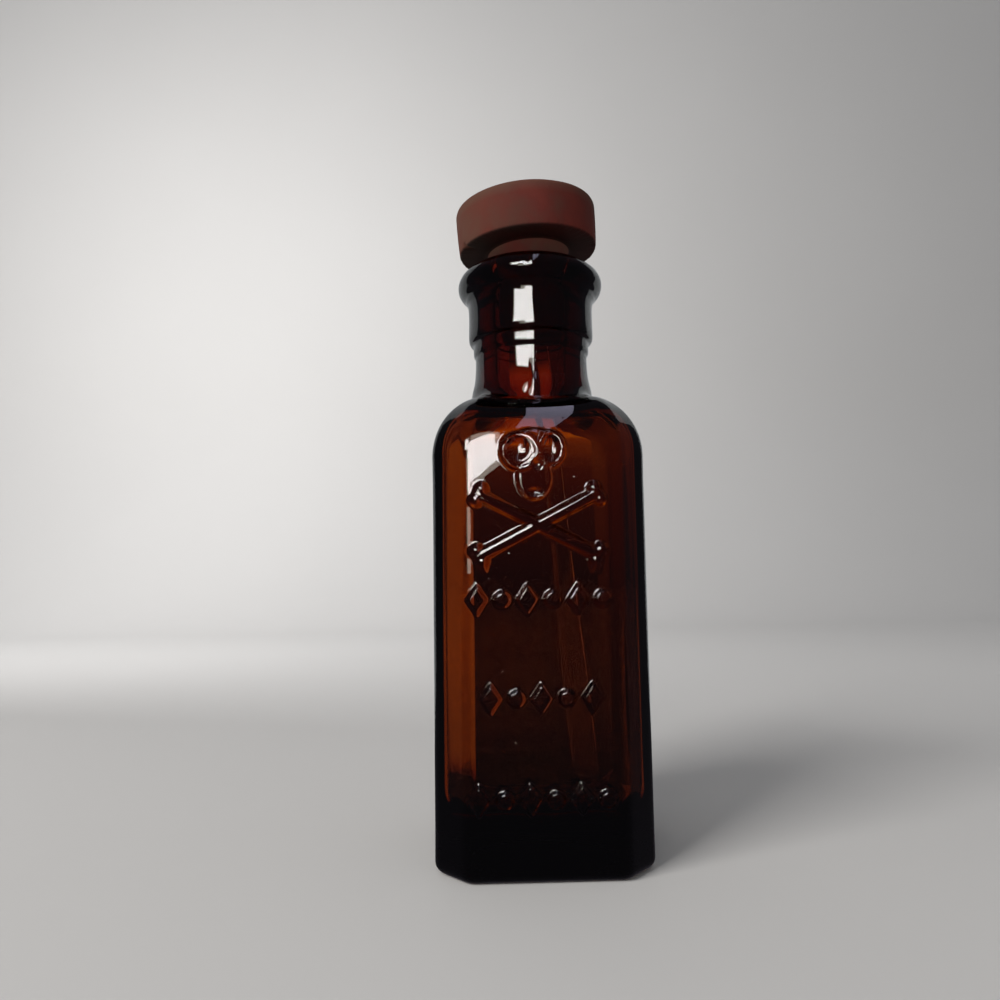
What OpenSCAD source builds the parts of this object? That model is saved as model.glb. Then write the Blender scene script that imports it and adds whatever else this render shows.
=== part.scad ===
// Square amber glass poison bottle with a raised skull and crossed bones on its front.
// A rubber stopper stands in the mouth and carries a glass applicator rod.
// The bottle stands on z = 0 with its axis on z, and the raised work faces -y.
// The stopper's head and the rod lean about the middle of the mouth, the rod more than the head.

/* [Body] */
// Width of the body across its side faces
body_w = 24; // [22:0.5:30]
// Depth of the body from front face to back face
body_d = 24; // [22:0.5:30]
// Height of the body up to the flat of the shoulder
body_h = 52; // [50:1:66]
// How far each upright corner is cut back along both faces
corner_cut = 3.5; // [2.5:0.25:4.5]
// Softening of the upright edges beside the corner cuts
edge_round = 1.75; // [0.6:0.05:2.2]
// Radius of the round shoulder
shoulder_r = 6.5; // [5:0.25:7]
// Radius of the heel where the sides meet the base
heel_r = 1.2; // [0.6:0.1:1.8]
// Thickness of the glass in the sides and the shoulder
wall_t = 1.6; // [1.2:0.1:2.4]
// Thickness of the glass behind each cut corner
corner_t = 1.4; // [1:0.1:2]
// Thickness of the glass in the base
floor_t = 4.5; // [3:0.25:6]
// Softening of the upright corners inside
inner_round = 1.6; // [1:0.1:2]
// Radius of the hollow's upper and lower edges
hollow_round = 4.4; // [3.4:0.2:5]
// Depth of the shallow hollow under the base
push_up = 0.6; // [0.3:0.1:1.2]
// Radius of the shallow hollow under the base
push_up_r = 8; // [6:0.25:9]

/* [Neck] */
// Radius of the plain neck
neck_r = 6.95; // [6.7:0.05:7.2]
// Height of the neck from the shoulder to the collar
neck_h = 8.5; // [7:0.1:12]
// Radius of the sweep where the neck leaves the shoulder
neck_fillet = 2; // [1:0.25:2.5]
// How much wider the foot of the neck is than the neck
neck_flare = 0.45; // [0.2:0.05:1]
// Height of the tapered foot of the neck above its sweep
neck_foot_h = 3.6; // [2:0.2:4.5]
// How far the thin bead under the collar stands out of the neck
bead_out = 0.3; // [0.1:0.05:0.4]
// Height of the thin bead under the collar
bead_h = 1.6; // [1:0.2:2]
// How far the collar under the lip stands out of the neck
collar_out = 0.8; // [0.6:0.05:1.2]
// Height of the collar under the lip
collar_h = 5.3; // [4:0.1:6]
// Rounding of the collar's lower edge
collar_round = 0.45; // [0.2:0.05:0.55]
// How far the rolled lip stands out of the neck
lip_out = 2.1; // [1.7:0.05:2.5]
// Height of the rolled lip
lip_h = 4.2; // [3.6:0.1:5]
// Rounding of the lip's edges
lip_round = 1.6; // [0.8:0.1:1.8]
// Radius of the bore at the mouth
mouth_r = 4.6; // [4.3:0.05:5]
// Radius of the bore at the foot of the neck
throat_r = 3.9; // [3.7:0.05:4.1]
// Rounding of the mouth's inner edge
mouth_round = 0.5; // [0.3:0.05:0.7]

/* [Stopper] */
// Lean of the stopper's head, in degrees
lean = 3.2; // [0:0.1:4]
// Gap between the lip and the head, measured on the leaning axis
head_gap = 2.35; // [1.5:0.05:4]
// Largest radius of the head
head_r = 8.85; // [8.2:0.05:9.4]
// Height of the head
head_h = 5.6; // [4.8:0.1:7]
// Height of the widest part of the head above its underside
head_belly = 4.8; // [2.5:0.1:4.9]
// Rounding of the head's upper edge
head_round = 0.6; // [0.4:0.1:1.2]
// Radius of the crowned side of the head, seen from the side
head_crown = 60; // [18:1:80]
// Radius of the plug where it leaves the head
grip_r = 5.05; // [4.7:0.05:5.6]
// How far the plug reaches down below the top of the lip
plug_reach = 9.4; // [7:0.2:11]
// Rounding of the plug's lower edge
plug_round = 1; // [0.6:0.1:1.4]
// How far the squeezed plug is pushed to one side by the lean
plug_shift = 0.25; // [0.2:0.01:0.35]
// Smallest gap between the plug and the bore
plug_gap = 0.06; // [0.04:0.01:0.12]

/* [Applicator rod] */
// Lean of the rod and its socket, in degrees
rod_lean = 5.3; // [0:0.1:5.5]
// Radius of the rod
rod_r = 1.25; // [1:0.05:1.4]
// Gap between the rod's lower end and the glass of the base
rod_tip_gap = 3.2; // [2:0.1:12]
// How far the rod goes up into the head, past its underside
rod_in_head = 2; // [1:0.25:4]
// Gap between the rod and its socket, all round
socket_gap = 0.02; // [0.01:0.01:0.06]

/* [Raised work] */
// How far the raised work stands out of the front face
relief = 0.6; // [0.4:0.05:0.8]
// Place of the raised work's middle line, from the middle of the front face
relief_x = -0.4; // [-0.5:0.1:0.5]
// How far the skull's crown centre lies below the flat of the shoulder
skull_down = 8.4; // [7.5:0.1:9]
// Radius of the skull's crown
skull_r = 3.75; // [3.2:0.05:4]
// How far the crown stands out of the front face
crown_out = 0.5; // [0.35:0.05:0.7]
// Radius of the jaw
jaw_r = 2.1; // [1.8:0.1:2.4]
// Height of the jaw's centre under the crown's centre
jaw_drop = 2.6; // [2:0.1:3]
// How far the jaw stands out of the front face
jaw_out = 0.4; // [0.3:0.05:0.6]
// Radius of the eye hollows
eye_r = 1.2; // [0.8:0.05:1.3]
// Distance between the centres of the eye hollows
eye_gap = 4.1; // [3.4:0.1:4.4]
// Height of the eyes above the crown's centre
eye_up = 1.4; // [0.6:0.1:1.6]
// Depth of the eye hollows
eye_deep = 0.45; // [0.2:0.05:0.6]
// Radius of the nose hollow
nose_r = 0.45; // [0.3:0.05:0.6]
// Height of the nose under the crown's centre
nose_drop = 1.2; // [0.8:0.1:1.6]
// Width of the small raised mouth
mouth_w = 1.8; // [1.2:0.1:2.2]
// Height of the small raised mouth under the crown's centre
mouth_drop = 3.65; // [3.2:0.05:4]
// Width of the sloping edge round the skull
plate_bevel = 0.5; // [0.3:0.05:0.7]
// How far the crossing of the two bones lies below the flat of the shoulder
bones_down = 14.7; // [14:0.1:15.5]
// Half of the width that the crossed bones cover
bones_half_w = 6.4; // [5:0.1:6.6]
// Half of the height that the crossed bones cover
bones_half_h = 3.3; // [2.8:0.1:3.5]
// Radius of a bone's shaft
bone_r = 0.66; // [0.5:0.02:0.75]
// Radius of each knob at the end of a bone
knob_r = 0.8; // [0.65:0.05:0.95]
// Distance of each knob from the middle line of its bone
knob_apart = 0.65; // [0.5:0.05:0.8]
// Numbers of marks in the rows, from the top row down
row_marks = [6, 5, 6];
// How far the top row of marks lies below the flat of the shoulder
rows_down = 22.65; // [22:0.05:24]
// Drop from one row of marks to the next
row_drop = 10.4; // [8:0.1:11]
// Distance between neighbouring marks in a row
mark_pitch = 2.7; // [2.4:0.05:2.8]
// Height of a lozenge mark
lozenge_h = 3.6; // [3:0.1:4.2]
// Width of a lozenge mark
lozenge_w = 2.4; // [1.8:0.1:2.6]
// Radius of a bead mark
bead_mark_r = 0.95; // [0.7:0.05:1.1]

/* [Hidden] */
$fn = 96;
fine = 192;
eps = 0.01;
root = 0.5;
over = 1;
grip_up = 0.25;
toe_sunk = 0.06;
collar_z = body_h + neck_h;
lip_z = collar_z + collar_h;
glass_h = lip_z + lip_h;
throat_z = body_h - wall_t;
inner_w = body_w - 2 * wall_t;
inner_d = body_d - 2 * wall_t;
inner_cut = corner_cut - 2 * wall_t + sqrt(2) * corner_t;
collar_r = neck_r + collar_out;
lip_r = neck_r + lip_out;
socket_top = head_gap + rod_in_head;
rod_len = socket_top + rod_r + (glass_h - rod_r - floor_t - rod_tip_gap) / cos(rod_lean);
front_y = -body_d / 2;
skull_z = body_h - skull_down;
bones_z = body_h - bones_down;
top_row_z = body_h - rows_down;
glass_colour = [0.38, 0.14, 0.04];
rubber_colour = [0.42, 0.18, 0.16];
rod_colour = [0.72, 0.74, 0.70];

// Radius of the bore at a height above the base
function bore_r(z) = throat_r + (mouth_r - throat_r) * (z - throat_z) / (glass_h - throat_z);

// Radius of the circle whose cap has the given base radius and height
function cap_r(base, high) = (base * base + high * high) / (2 * high);

// Corners of an eight-sided outline, anticlockwise from the right-hand side
function eight(w, d, cut) = [
    [w / 2, d / 2 - cut], [w / 2 - cut, d / 2], [cut - w / 2, d / 2], [-w / 2, d / 2 - cut],
    [-w / 2, cut - d / 2], [cut - w / 2, -d / 2], [w / 2 - cut, -d / 2], [w / 2, cut - d / 2]
];

// Plan of the body: a rectangle with cut and softened corners
module cut_plan(w, d, cut, r) {
    centres = eight(w - 2 * r, d - 2 * r, cut - r * (2 - sqrt(2)));
    polygon([for (i = [0 : 7], k = [0, 1]) centres[i] + r * [cos(45 * (i + k)), sin(45 * (i + k))]]);
    for (c = centres) translate(c) circle(r);
}

// Upright profile of the body: a rectangle on y = 0 with round lower and upper corners
module arched_profile(w, h, r_low, r_top) {
    polygon([
        [r_low - w / 2, 0], [w / 2 - r_low, 0], [w / 2, r_low], [w / 2, h - r_top],
        [w / 2 - r_top, h], [r_top - w / 2, h], [-w / 2, h - r_top], [-w / 2, r_low]
    ]);
    for (side = [-1, 1]) {
        translate([side * (w / 2 - r_low), r_low]) circle(r_low);
        translate([side * (w / 2 - r_top), h - r_top]) circle(r_top);
    }
}

// Block with cut upright corners, a round shoulder on all four sides and a round heel
module cushion(w, d, h, cut, r, r_low, r_top) {
    intersection() {
        linear_extrude(h) cut_plan(w, d, cut, r);
        rotate([90, 0, 0]) linear_extrude(d + 2 * over, center = true) arched_profile(w, h, r_low, r_top);
        rotate([90, 0, 90]) linear_extrude(w + 2 * over, center = true) arched_profile(d, h, r_low, r_top);
    }
}

// Rounded rectangle in the r-z half plane, from the axis out to r
module disc_profile(r, z_low, z_high, round_by) {
    translate([0, z_low]) square([r - round_by, z_high - z_low]);
    translate([0, z_low + round_by]) square([r, z_high - z_low - 2 * round_by]);
    for (z = [z_low + round_by, z_high - round_by]) translate([r - round_by, z]) circle(round_by);
}

// Outside of the neck, collar and lip, with a sweep at its foot that sinks a little into the round shoulder
module neck_solid() {
    foot_r = neck_r + neck_flare;
    shoulder_c = [min(body_w, body_d) / 2 - shoulder_r, body_h - shoulder_r];
    past = max(0, foot_r + neck_fillet - shoulder_c[0]);
    rise = sqrt(pow(shoulder_r + neck_fillet, 2) - pow(past, 2));
    sweep_c = [foot_r + neck_fillet, shoulder_c[1] + rise - toe_sunk];
    toe = sweep_c - neck_fillet * [past, rise] / (shoulder_r + neck_fillet);
    rotate_extrude() {
        translate([0, throat_z]) square([neck_r, glass_h - lip_h / 2 - throat_z]);
        difference() {
            polygon([
                [0, body_h - wall_t / 2], [toe[0], body_h - wall_t / 2], toe, [foot_r, sweep_c[1]],
                [neck_r, sweep_c[1] + neck_foot_h], [0, sweep_c[1] + neck_foot_h]
            ]);
            translate(sweep_c) circle(neck_fillet);
        }
        translate([0, collar_z - bead_h]) square([neck_r + bead_out, bead_h + eps]);
        disc_profile(collar_r, collar_z, lip_z + lip_h / 2, collar_round);
        disc_profile(lip_r, lip_z, glass_h, lip_round);
    }
}

// Everything that is air inside the neck
module bore() {
    rotate_extrude() {
        polygon([
            [0, throat_z - wall_t], [throat_r + wall_t, throat_z - wall_t], [throat_r, throat_z + wall_t],
            [mouth_r, glass_h], [mouth_r, glass_h + over], [0, glass_h + over]
        ]);
        difference() {
            translate([mouth_r - mouth_round, glass_h - mouth_round]) square([2 * mouth_round, 2 * mouth_round]);
            translate([mouth_r + mouth_round, glass_h - mouth_round]) circle(mouth_round);
        }
    }
}

// Low dome standing on the front face, sunk into the wall by its root
module dome(r, high) {
    big = cap_r(r, high);
    rotate([90, 0, 0]) rotate_extrude() intersection() {
        translate([0, high - big]) circle(big);
        translate([0, -root]) square([r, root + high]);
    }
}

// Round plate with a sloping edge on the front face, sunk into the wall by its root
module plate(r, high) {
    rotate([90, 0, 0]) rotate_extrude()
        polygon([[0, -root], [r, -root], [r, 0], [r - plate_bevel, high], [0, high]]);
}

// Puts its children at x, z on the front face
module on_front(x, z) {
    translate([relief_x + x, front_y, z]) children();
}

// One bone with two knobs at each end, leaning to the right or to the left
module bone(side) {
    long = norm([bones_half_w, bones_half_h]);
    turn = atan2(bones_half_h, bones_half_w) * side;
    sunk = bone_r - relief;
    translate([0, sunk, 0]) rotate([0, -turn, 0]) {
        rotate([0, 90, 0]) cylinder(h = 2 * long, r = bone_r, center = true);
        for (end = [-1, 1], k = [-1, 1]) {
            translate([end * long, knob_r - bone_r, k * knob_apart]) sphere(knob_r);
        }
    }
}

// Domed mark with a lozenge outline
module lozenge() {
    a = lozenge_w / 2;
    b = lozenge_h / 2;
    intersection() {
        dome(b, relief);
        rotate([90, 0, 0]) linear_extrude(2 * over, center = true) polygon([[a, 0], [0, b], [-a, 0], [0, -b]]);
    }
}

// Rows of lozenges and beads, in turn
module marks() {
    for (row = [0 : len(row_marks) - 1], i = [0 : row_marks[row] - 1]) {
        on_front((i - (row_marks[row] - 1) / 2) * mark_pitch, top_row_z - row * row_drop) {
            if (i % 2 == 0) lozenge();
            else dome(bead_mark_r, relief);
        }
    }
}

// Skull made of a crown plate and a lower jaw plate, with hollow eyes and nose and a raised mouth
module skull() {
    eye_ball = cap_r(eye_r, eye_deep);
    difference() {
        union() {
            on_front(0, skull_z) plate(skull_r, crown_out);
            on_front(0, skull_z - jaw_drop) plate(jaw_r, jaw_out);
        }
        for (side = [-1, 1]) {
            on_front(side * eye_gap / 2, skull_z + eye_up)
                translate([0, eye_deep - crown_out - eye_ball, 0]) sphere(eye_ball);
        }
        on_front(0, skull_z - nose_drop) translate([0, -crown_out, 0]) sphere(nose_r);
    }
    on_front(0, skull_z - mouth_drop) dome(mouth_w / 2, relief);
}

// Round-shouldered square bottle, blown hollow, with a conical bore
module bottle() {
    color(glass_colour) difference() {
        union() {
            cushion(body_w, body_d, body_h, corner_cut, edge_round, heel_r, shoulder_r);
            neck_solid();
            skull();
            on_front(0, bones_z) {
                bone(1);
                bone(-1);
            }
            marks();
        }
        translate([0, 0, floor_t])
            cushion(inner_w, inner_d, throat_z - floor_t, inner_cut, inner_round, hollow_round, hollow_round);
        bore();
        translate([0, 0, push_up - cap_r(push_up_r, push_up)]) sphere(cap_r(push_up_r, push_up), $fn = fine);
    }
}

// Frame whose z axis leans by an angle, with its origin in the middle of the mouth
module leaning(angle) {
    translate([0, 0, glass_h]) rotate([0, -angle, 0]) children();
}

// Squeezed plug that follows the bore, with a round lower edge
module plug() {
    low_z = glass_h - plug_reach;
    high_z = glass_h + head_gap / 2;
    slim = plug_shift + plug_gap;
    low_r = bore_r(low_z) - slim;
    translate([plug_shift, 0, 0]) rotate_extrude() {
        polygon([
            [0, low_z], [low_r - plug_round, low_z], [bore_r(low_z + plug_round) - slim, low_z + plug_round],
            [mouth_r - slim, glass_h], [mouth_r - slim, high_z], [0, high_z]
        ]);
        translate([low_r - plug_round, low_z + plug_round]) circle(plug_round);
    }
}

// Rubber stopper: crowned head, short grip above the lip, plug, and a blind socket for the rod
module stopper() {
    color(rubber_colour) difference() {
        union() {
            leaning(lean) {
                rotate_extrude() intersection() {
                    disc_profile(head_r, head_gap, head_gap + head_h, head_round);
                    translate([head_r - head_crown, head_gap + head_belly]) circle(head_crown, $fn = fine);
                }
                translate([0, 0, grip_up])
                    cylinder(h = head_gap, r1 = mouth_r - plug_shift, r2 = grip_r);
            }
            plug();
        }
        leaning(rod_lean) translate([0, 0, -plug_reach - plug_round])
            cylinder(h = plug_reach + plug_round + socket_top, r = rod_r + socket_gap);
    }
}

// Glass rod with a round lower end, held in the stopper's socket
module applicator_rod() {
    color(rod_colour) leaning(rod_lean) translate([0, 0, socket_top - rod_len]) {
        translate([0, 0, rod_r]) cylinder(h = rod_len - rod_r, r = rod_r);
        translate([0, 0, rod_r]) sphere(rod_r);
    }
}

bottle();
stopper();
applicator_rod();
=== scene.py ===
# %% [markdown]
# ## A poison bottle of amber glass, in Blender
# The object is a small square bottle of dark amber glass, shaped in an iron mould, with a skull and crossed
# bones on its front so that a hand in the dark could feel what it held. A red rubber stopper closes it, and
# a thin glass rod hangs from the stopper to dab the tincture. The moving frame was made in CAD. This script
# builds what the eye wants on top of it: glass that is thick, soft-edged and slightly wavy, and rubber that
# is dusty. All lengths below are in millimetres, and they become metres when a mesh is made.

import math

import bpy
import numpy as np
from mathutils import Matrix, Vector


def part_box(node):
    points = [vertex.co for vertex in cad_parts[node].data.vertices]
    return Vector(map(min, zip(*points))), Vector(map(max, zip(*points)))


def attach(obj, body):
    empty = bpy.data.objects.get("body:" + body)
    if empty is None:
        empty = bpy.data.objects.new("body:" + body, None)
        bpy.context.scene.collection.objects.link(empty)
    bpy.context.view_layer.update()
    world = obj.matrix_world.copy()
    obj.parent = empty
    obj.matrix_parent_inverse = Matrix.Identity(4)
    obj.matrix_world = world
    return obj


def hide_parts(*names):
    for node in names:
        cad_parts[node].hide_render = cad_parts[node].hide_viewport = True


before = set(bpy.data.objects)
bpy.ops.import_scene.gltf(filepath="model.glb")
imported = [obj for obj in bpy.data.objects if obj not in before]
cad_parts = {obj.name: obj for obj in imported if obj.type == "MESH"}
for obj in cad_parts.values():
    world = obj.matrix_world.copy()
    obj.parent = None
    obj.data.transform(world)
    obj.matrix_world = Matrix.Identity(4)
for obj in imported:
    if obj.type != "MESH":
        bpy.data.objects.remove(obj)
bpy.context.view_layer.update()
MM = 0.001

# %% [markdown]
# ## The camera
# A photograph of a glass is mostly a picture of what surrounds it, so the camera comes first. It stands
# very close, about 9 cm in front of the bottle at half its height, slightly to the left, and looks a little
# upwards. Looking upwards from so near makes the base look wider than the shoulder. Turning and rolling the
# camera by measured angles is plainer than aiming it at a point, because a roll can be written down as an
# angle too.

# %% Directions of a turned and rolled camera
CAMERA_PLACE = (-6.68, -93.09, 33.01)
LOOK_UP = math.radians(4.94)
LOOK_RIGHT = math.radians(1.546)
ROLL = math.radians(0.865)
LENS = 27.22


def view_axes(up_angle, right_angle, roll):
    """Right, up and forward directions of a camera that starts looking along +Y."""
    forward = Vector((
        math.sin(right_angle) * math.cos(up_angle),
        math.cos(right_angle) * math.cos(up_angle),
        math.sin(up_angle),
    ))
    level = Vector((math.cos(right_angle), -math.sin(right_angle), 0))
    upright = level.cross(forward)
    right = level * math.cos(roll) - upright * math.sin(roll)
    up = level * math.sin(roll) + upright * math.cos(roll)
    return right, up, forward


right, up, forward = view_axes(LOOK_UP, LOOK_RIGHT, ROLL)
print("the camera looks along", [round(v, 3) for v in forward])

# %% Place the camera
NEAREST_SEEN = 5
camera = bpy.data.objects.new("camera", bpy.data.cameras.new("camera"))
camera.matrix_world = Matrix.Translation(Vector(CAMERA_PLACE) * MM) @ Matrix((
    (right.x, up.x, -forward.x, 0),
    (right.y, up.y, -forward.y, 0),
    (right.z, up.z, -forward.z, 0),
    (0, 0, 0, 1),
))
camera.data.lens = LENS
camera.data.clip_start = NEAREST_SEEN * MM
bpy.context.scene.collection.objects.link(camera)
bpy.context.scene.camera = camera
bpy.context.scene.view_settings.view_transform = "Standard"
print("camera stands", round(-CAMERA_PLACE[1]), "mm in front of the bottle's axis")

# %% [markdown]
# ## Meshes as stacks of rings
# Bottle, rod and stopper are all closed skins that can be drawn as rings, one above the other, each with
# the same number of points. A lathe tool would do for the round parts, but the bottle changes from square
# to round between body and neck, and a stack of rings takes that in its stride. It also leaves every point
# open to a small push, which is how the raised work and the waves of the glass are made.

# %% Turn rings into a closed mesh
def skin(name, rings):
    """Closed mesh from rings of equal length; the first and the last ring are closed to a point."""
    rings = np.asarray(rings, float) * MM
    count, around = rings.shape[:2]
    first, last = rings[0].mean(0), rings[-1].mean(0)
    points = np.concatenate([rings.reshape(-1, 3), [first, last]])
    row, col = np.meshgrid(np.arange(count - 1), np.arange(around), indexing="ij")
    after = (col + 1) % around
    quads = np.stack([row * around + col, row * around + after,
                      (row + 1) * around + after, (row + 1) * around + col], -1).reshape(-1, 4)
    start = np.arange(around)
    end = (count - 1) * around + start
    fan_first = np.stack([np.full(around, count * around), np.roll(start, -1), start], -1)
    fan_last = np.stack([end, np.roll(end, -1), np.full(around, count * around + 1)], -1)
    mesh = bpy.data.meshes.new(name)
    mesh.from_pydata(points.tolist(), [], quads.tolist() + fan_first.tolist() + fan_last.tolist())
    mesh.shade_smooth()
    mesh.update()
    piece = bpy.data.objects.new(name, mesh)
    bpy.context.scene.collection.objects.link(piece)
    print(name, "has", len(mesh.polygons), "faces")
    return piece


# %% Rings and arcs
def ring(plan, z):
    """Plan points at one height."""
    return np.column_stack([plan, np.full(len(plan), z)])


def arc(centre_r, centre_z, radius, start, end, steps):
    """Points of an arc in the r-z half plane, angles in degrees from the +r direction."""
    turn = np.radians(np.linspace(start, end, steps + 1))
    return [(centre_r + radius * math.cos(t), centre_z + radius * math.sin(t)) for t in turn]


# %% [markdown]
# ## The plan of the body
# The body is a square with cut corners, and every edge of it is slightly soft, as glass leaves a mould. The
# front gets many more points than the other sides, because only the front carries raised work. Each ring
# keeps the same order of points, so the plan can shrink over the shoulder and turn into a circle at the
# neck.

# %% Sizes of the body, from the frame
bottle_low, bottle_high = (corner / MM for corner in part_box("bottle"))
BODY_W = bottle_high.x - bottle_low.x
BODY_D = 2 * bottle_high.y
GLASS_H = bottle_high.z
RELIEF = -bottle_low.y - bottle_high.y
print("the body measures", round(BODY_W, 2), "by", round(BODY_D, 2), "and its figures", round(RELIEF, 2))

# %% Draw the plan of the body
CORNER_CUT = 3.5
EDGE_ROUND = 1.75
ARC_STEPS = 6
CUT_STEPS = 5
FRONT_STEPS = 150
BACK_STEPS = 28
FLANK_STEPS = 18
SIDE_STEPS = [CUT_STEPS, BACK_STEPS, CUT_STEPS, FLANK_STEPS, CUT_STEPS, FRONT_STEPS, CUT_STEPS, FLANK_STEPS]


def cut_plan(w, d, cut, soft):
    """Points round a rectangle with cut corners, anticlockwise, seen from above."""
    inset = cut - soft * (2 - math.sqrt(2))
    half_w, half_d = w / 2 - soft, d / 2 - soft
    centres = [
        (half_w, half_d - inset), (half_w - inset, half_d),
        (inset - half_w, half_d), (-half_w, half_d - inset),
        (-half_w, inset - half_d), (inset - half_w, -half_d),
        (half_w - inset, -half_d), (half_w, inset - half_d),
    ]
    points = []
    for i, centre in enumerate(centres):
        here, there = np.array(centre), np.array(centres[(i + 1) % 8])
        for k in range(ARC_STEPS + 1):
            turn = math.radians(45 * (i + k / ARC_STEPS))
            points.append(here + soft * np.array([math.cos(turn), math.sin(turn)]))
        reach = soft * np.array([math.cos(turn), math.sin(turn)])
        for k in range(1, SIDE_STEPS[i]):
            points.append(here + (there - here) * k / SIDE_STEPS[i] + reach)
    return np.array(points)


body_plan = cut_plan(BODY_W, BODY_D, CORNER_CUT, EDGE_ROUND)
print("a ring has", len(body_plan), "points")

# %% [markdown]
# ## The raised work
# The mould was cut with a skull, two crossed bones and three rows of marks. Hot glass never fills a mould's
# sharp corners, so everything comes out with soft shoulders. The easiest way to get that look is to draw
# the figures as a map of heights, as sharp as the mould, then blur the map a little, and read the heights
# off it when the front is built. Modelling each figure as a solid and rounding all its edges would be far
# more work.

# %% Lay out the height map
MAP_STEP = 0.05
MAP_HALF_W = 9.0
MAP_LOW_Z = 5.0
MAP_HIGH_Z = 49.5
map_x, map_z = np.meshgrid(
    np.arange(-MAP_HALF_W, MAP_HALF_W + MAP_STEP, MAP_STEP),
    np.arange(MAP_LOW_Z, MAP_HIGH_Z + MAP_STEP, MAP_STEP),
)
print("the height map has", map_x.shape, "points")


# %% Domes and bowls on the map
def dome(x, z, half_w, half_h, high):
    """Oval dome on the map."""
    inside = 1 - ((map_x - x) / half_w) ** 2 - ((map_z - z) / half_h) ** 2
    return high * np.sqrt(np.clip(inside, 0, 1))


def bowl(x, z, half_w, half_h, deep):
    """Shallow rounded bowl, given as the depth that it takes away, steepest at its rim."""
    return deep * np.clip(1 - ((map_x - x) / half_w) ** 2 - ((map_z - z) / half_h) ** 2, 0, 1)


# %% [markdown]
# ## Marks that catch a line of light
# A dome mirrors a window as one blurred spot, and that isn't how pressed marks look. On a real mark the top
# is nearly flat, its rim curves down gently, and then a short steep edge drops to the wall. The curved rim
# catches a thin bright line. So every mark is built from its distance inward from the outline, whatever its
# shape is.

# %% Flat tops with a soft rim
MARK_EDGE = 0.2
RIM_FALL = 0.2
PLATE_RIM = 0.5


def cushion(inward, high, rim):
    """Height of a flat top whose rim curves down gently and then drops, from the distance to its outline."""
    fall = 1 - np.clip(inward / rim, 0, 1)
    return high * (1 - RIM_FALL * fall ** 2) * np.clip(inward / MARK_EDGE, 0, 1)


def plate(x, z, half_w, half_h, high):
    """Oval plate on the map."""
    reach = np.sqrt(((map_x - x) / half_w) ** 2 + ((map_z - z) / half_h) ** 2)
    return cushion((1 - reach) * min(half_w, half_h), high, PLATE_RIM)


def ridge(start, end, radius, high):
    """Ridge with a cushioned top and steep flanks between two points on the map."""
    along = np.array(end) - start
    share = ((map_x - start[0]) * along[0] + (map_z - start[1]) * along[1]) / (along @ along)
    share = np.clip(share, 0, 1)
    away = np.hypot(map_x - start[0] - share * along[0], map_z - start[1] - share * along[1])
    return cushion(radius - away, high, radius)


# %% Draw the skull
FIGURE_HIGH = 0.95 * RELIEF
SKULL_HIGH = 0.48
SKULL_PLATES = [
    (-1.9, 45.3, 2.15, 2.15), (1.25, 45.6, 1.95, 2.1), (-0.35, 45.7, 2.7, 2.25), (-0.35, 42.4, 2.0, 2.5),
]
EYES = [(-2.1, 45.6, 1.35, 1.35, 0.38), (1.6, 45.6, 0.95, 1.5, 0.38)]
NOSE = (-0.05, 43.9, 0.65, 0.65, 0.28)
MOUTH = (-0.36, 40.8, 0.95, 0.55, 0.3)
EYE_LINES = [(-1.9, 45.3, 1.95, 1.95), (1.5, 45.5, 1.2, 1.75)]
LINE_HALF_W = 0.4
LINE_HIGH = 0.12


def skull_heights():
    """Head and jaw as soft plates, with hollow eyes, nose and mouth and a raised line round each eye."""
    high = np.maximum.reduce([plate(*spot, SKULL_HIGH) for spot in SKULL_PLATES])
    for hollow in (*EYES, NOSE, MOUTH):
        high -= bowl(*hollow)
    for x, z, half_w, half_h in EYE_LINES:
        away = (np.hypot((map_x - x) / half_w, (map_z - z) / half_h) - 1) * min(half_w, half_h)
        high += LINE_HIGH * np.clip(1 - (away / LINE_HALF_W) ** 2, 0, 1)
    return np.clip(high, 0, FIGURE_HIGH)


skull = skull_heights()
print("the skull rises", round(float(skull.max()), 2), "mm")

# %% Draw the crossed bones
BONES_Z = 37.3
BONES_HALF_W = 6.4
BONES_HALF_H = 3.3
BONE_R = 0.72
KNOB_R = 0.8
KNOB_APART = 0.65


def bone_heights():
    """Two crossed bones with a pair of knobs at each end."""
    high = np.zeros_like(map_x)
    middle = np.array([0, BONES_Z])
    for side in (-1, 1):
        half = np.array([BONES_HALF_W * side, BONES_HALF_H])
        across = np.array([-half[1], half[0]]) / math.hypot(*half) * KNOB_APART
        high = np.maximum(high, ridge(middle - half, middle + half, BONE_R, FIGURE_HIGH))
        for end in (-1, 1):
            for edge in (-1, 1):
                knob = middle + half * end + across * edge
                high = np.maximum(high, dome(*knob, KNOB_R, KNOB_R, RELIEF))
    return high


bones = bone_heights()
print("the bones reach", round(BONES_HALF_W, 1), "mm to each side")

# %% Draw the rows of marks
ROW_MARKS = [6, 5, 6]
TOP_ROW_Z = 29.35
ROW_DROP = 10.4
MARK_PITCH = 2.7
MARK_HIGH = 0.38
MARK_RIM = 0.2
LOZENGE_H = 3.6
LOZENGE_W = 2.4
BEAD_R = 0.95


def lozenge(x, z):
    """Four-sided mark with a nearly flat top and a narrow edge."""
    reach = np.abs(map_x - x) / (LOZENGE_W / 2) + np.abs(map_z - z) / (LOZENGE_H / 2)
    inward = (1 - reach) * (LOZENGE_W / 2) * (LOZENGE_H / 2) / math.hypot(LOZENGE_W / 2, LOZENGE_H / 2)
    return cushion(inward, MARK_HIGH, MARK_RIM)


def bead(x, z):
    """Round mark with a nearly flat top and a narrow edge."""
    reach = np.hypot(map_x - x, map_z - z) / BEAD_R
    return cushion((1 - reach) * BEAD_R, MARK_HIGH, MARK_RIM)


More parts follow.
